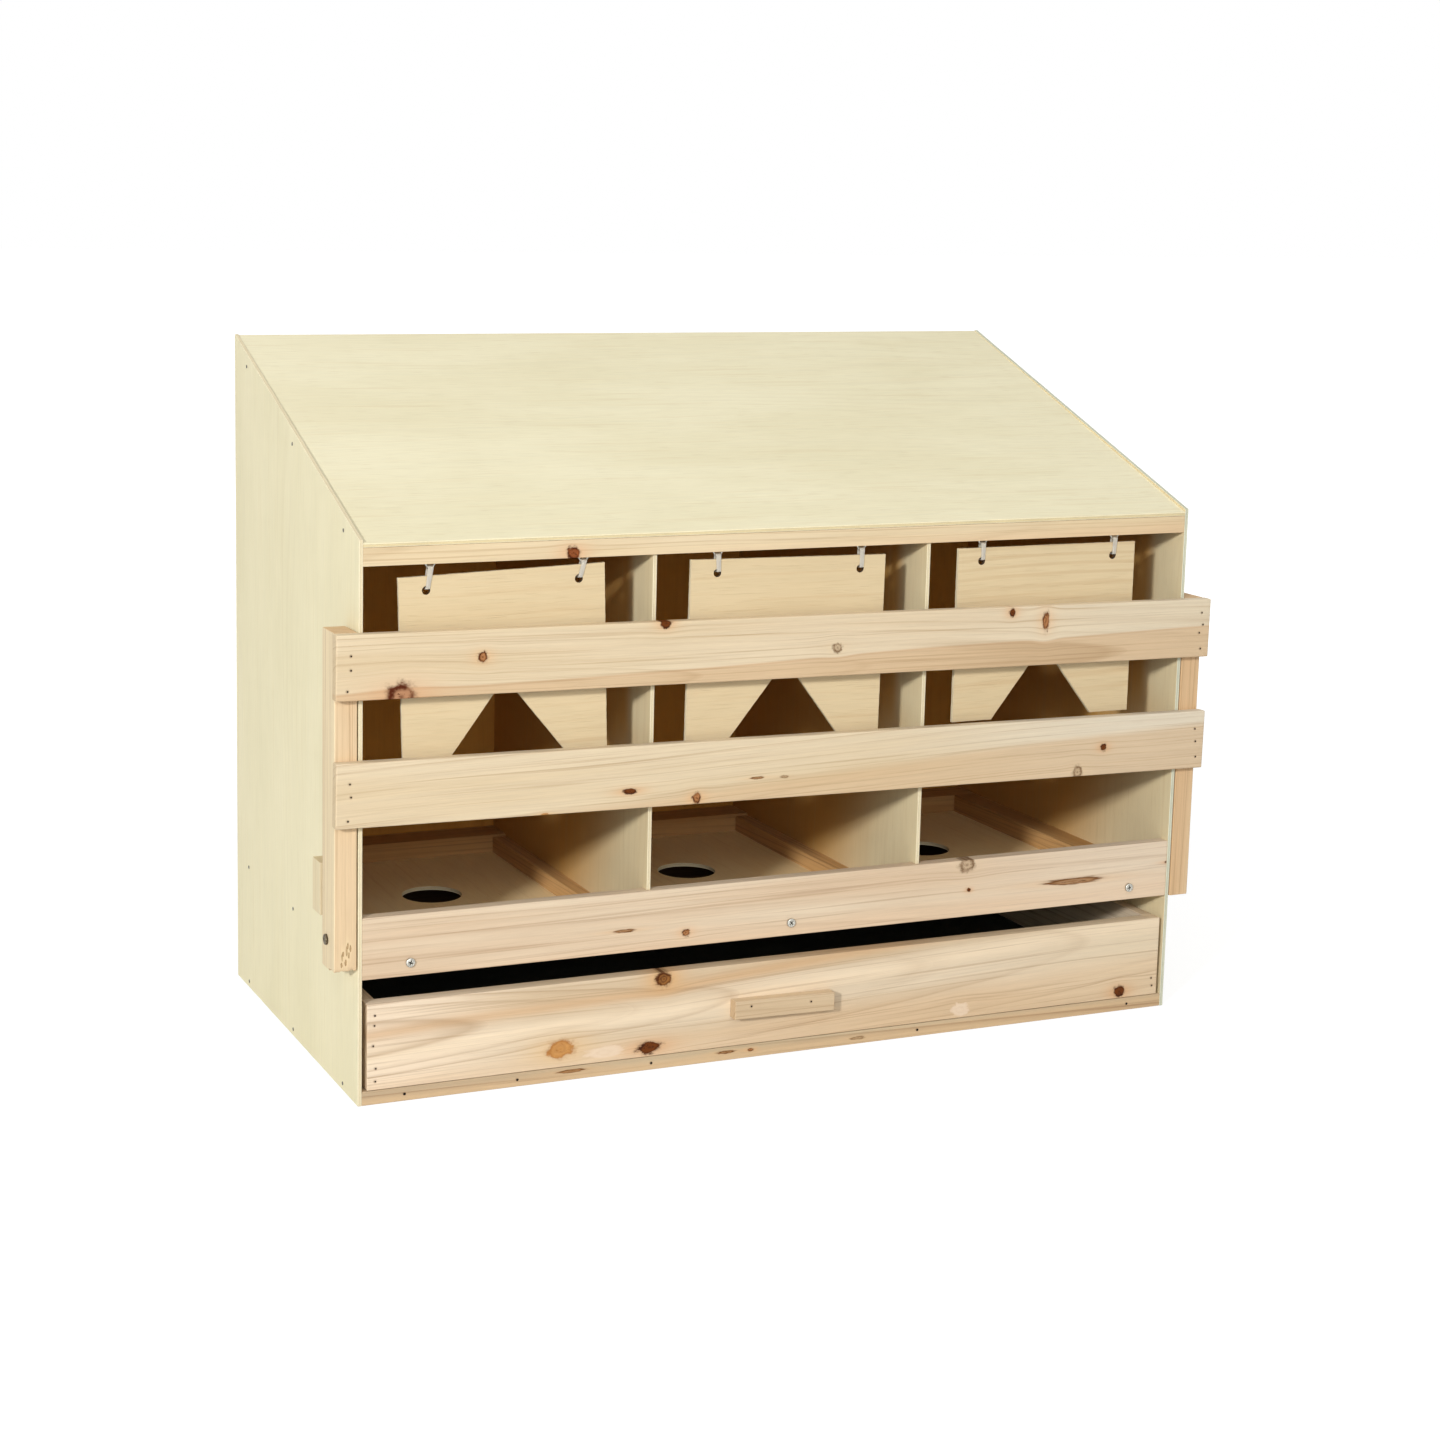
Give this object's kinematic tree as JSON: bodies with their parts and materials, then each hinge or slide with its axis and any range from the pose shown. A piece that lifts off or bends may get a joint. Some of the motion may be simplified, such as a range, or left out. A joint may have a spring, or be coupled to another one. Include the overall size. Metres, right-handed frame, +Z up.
{
  "type": "hen nesting box",
  "caption": "Wooden laying box for hens: nests side by side behind swinging curtains, with a folding slatted perch and an egg drawer under the nest floor.",
  "frame": {"origin": "bottom centre of the whole part's box, on the ground, with the perch folded up and the drawer shut", "axes": "+X to the right as seen from the front, +Y towards the back, +Z up; the nests open towards -Y"},
  "size_m": [0.9526, 0.449, 0.697],
  "materials": {
    "panel_plywood": "raw sanded plywood, matt",
    "roof_plywood": "raw plywood, fine grain, matt",
    "inner_plywood": "raw plywood, matt",
    "curtain_plywood": "raw plywood, matt",
    "front_timber": "planed softwood with knots, matt",
    "batten_timber": "sawn softwood, matt",
    "black_mat": "soft foam, matt",
    "white_nylon": "smooth, slightly translucent",
    "galvanised_steel": "zinc plated, dull",
    "nail_steel": "plain steel, dull"
  },
  "bodies": {
    "case": {"left_side_panel": "panel_plywood", "right_side_panel": "panel_plywood", "back_panel": "panel_plywood", "roof_panel": "roof_plywood", "top_front_rail": "front_timber", "top_rear_rail": "batten_timber", "left_roof_batten": "batten_timber", "right_roof_batten": "batten_timber", "left_divider": "inner_plywood", "right_divider": "inner_plywood", "nest_floor": "inner_plywood", "left_nest_left_batten": "batten_timber", "left_nest_right_batten": "batten_timber", "middle_nest_left_batten": "batten_timber", "middle_nest_right_batten": "batten_timber", "right_nest_left_batten": "batten_timber", "right_nest_right_batten": "batten_timber", "left_nest_front_batten": "batten_timber", "middle_nest_front_batten": "batten_timber", "right_nest_front_batten": "batten_timber", "left_nest_rear_batten": "batten_timber", "middle_nest_rear_batten": "batten_timber", "right_nest_rear_batten": "batten_timber", "front_floor_board": "front_timber", "base_front_rail": "front_timber", "base_rear_rail": "batten_timber", "left_base_batten": "batten_timber", "right_base_batten": "batten_timber", "drawer_runners": "batten_timber", "left_stop_block": "front_timber", "right_stop_block": "front_timber", "pivot_bolts": "galvanised_steel", "spacer_washers": "galvanised_steel", "inner_washers": "galvanised_steel", "pivot_nuts": "galvanised_steel", "curtain_staples": "galvanised_steel", "panel_nails": "nail_steel", "base_rail_nails": "nail_steel", "board_screws": "galvanised_steel"},
    "perch": {"left_perch_arm": "front_timber", "right_perch_arm": "front_timber", "upper_perch_slat": "front_timber", "lower_perch_slat": "front_timber", "slat_nails": "nail_steel"},
    "drawer": {"drawer_front": "front_timber", "drawer_back": "batten_timber", "drawer_left_side": "batten_timber", "drawer_right_side": "batten_timber", "drawer_bottom": "inner_plywood", "drawer_mat": "black_mat", "drawer_pull": "front_timber", "drawer_nails": "nail_steel"},
    "left_curtain": {"left_curtain": "curtain_plywood", "left_curtain_ties": "white_nylon"},
    "middle_curtain": {"middle_curtain": "curtain_plywood", "middle_curtain_ties": "white_nylon"},
    "right_curtain": {"right_curtain": "curtain_plywood", "right_curtain_ties": "white_nylon"}
  },
  "joints": [
    {"name": "perch_fold", "type": "hinge", "parent": "case", "child": "perch", "pos_m": [0, -0.1889, 0.1586], "axis": [1, 0, 0], "range_deg": [0, 90]},
    {"name": "drawer_slide", "type": "slide", "parent": "case", "child": "drawer", "axis": [0, -1, 0], "range_m": [0, 0.33]},
    {"name": "left_curtain_swing", "type": "hinge", "parent": "case", "child": "left_curtain", "pos_m": [-0.30737, -0.2015, 0.50598], "axis": [1, 0, 0], "range_deg": [-2, 80]},
    {"name": "middle_curtain_swing", "type": "hinge", "parent": "case", "child": "middle_curtain", "pos_m": [-0.0084, -0.2015, 0.50598], "axis": [1, 0, 0], "range_deg": [-2, 80]},
    {"name": "right_curtain_swing", "type": "hinge", "parent": "case", "child": "right_curtain", "pos_m": [0.28617, -0.2015, 0.50598], "axis": [1, 0, 0], "range_deg": [-2, 80]}
  ]
}
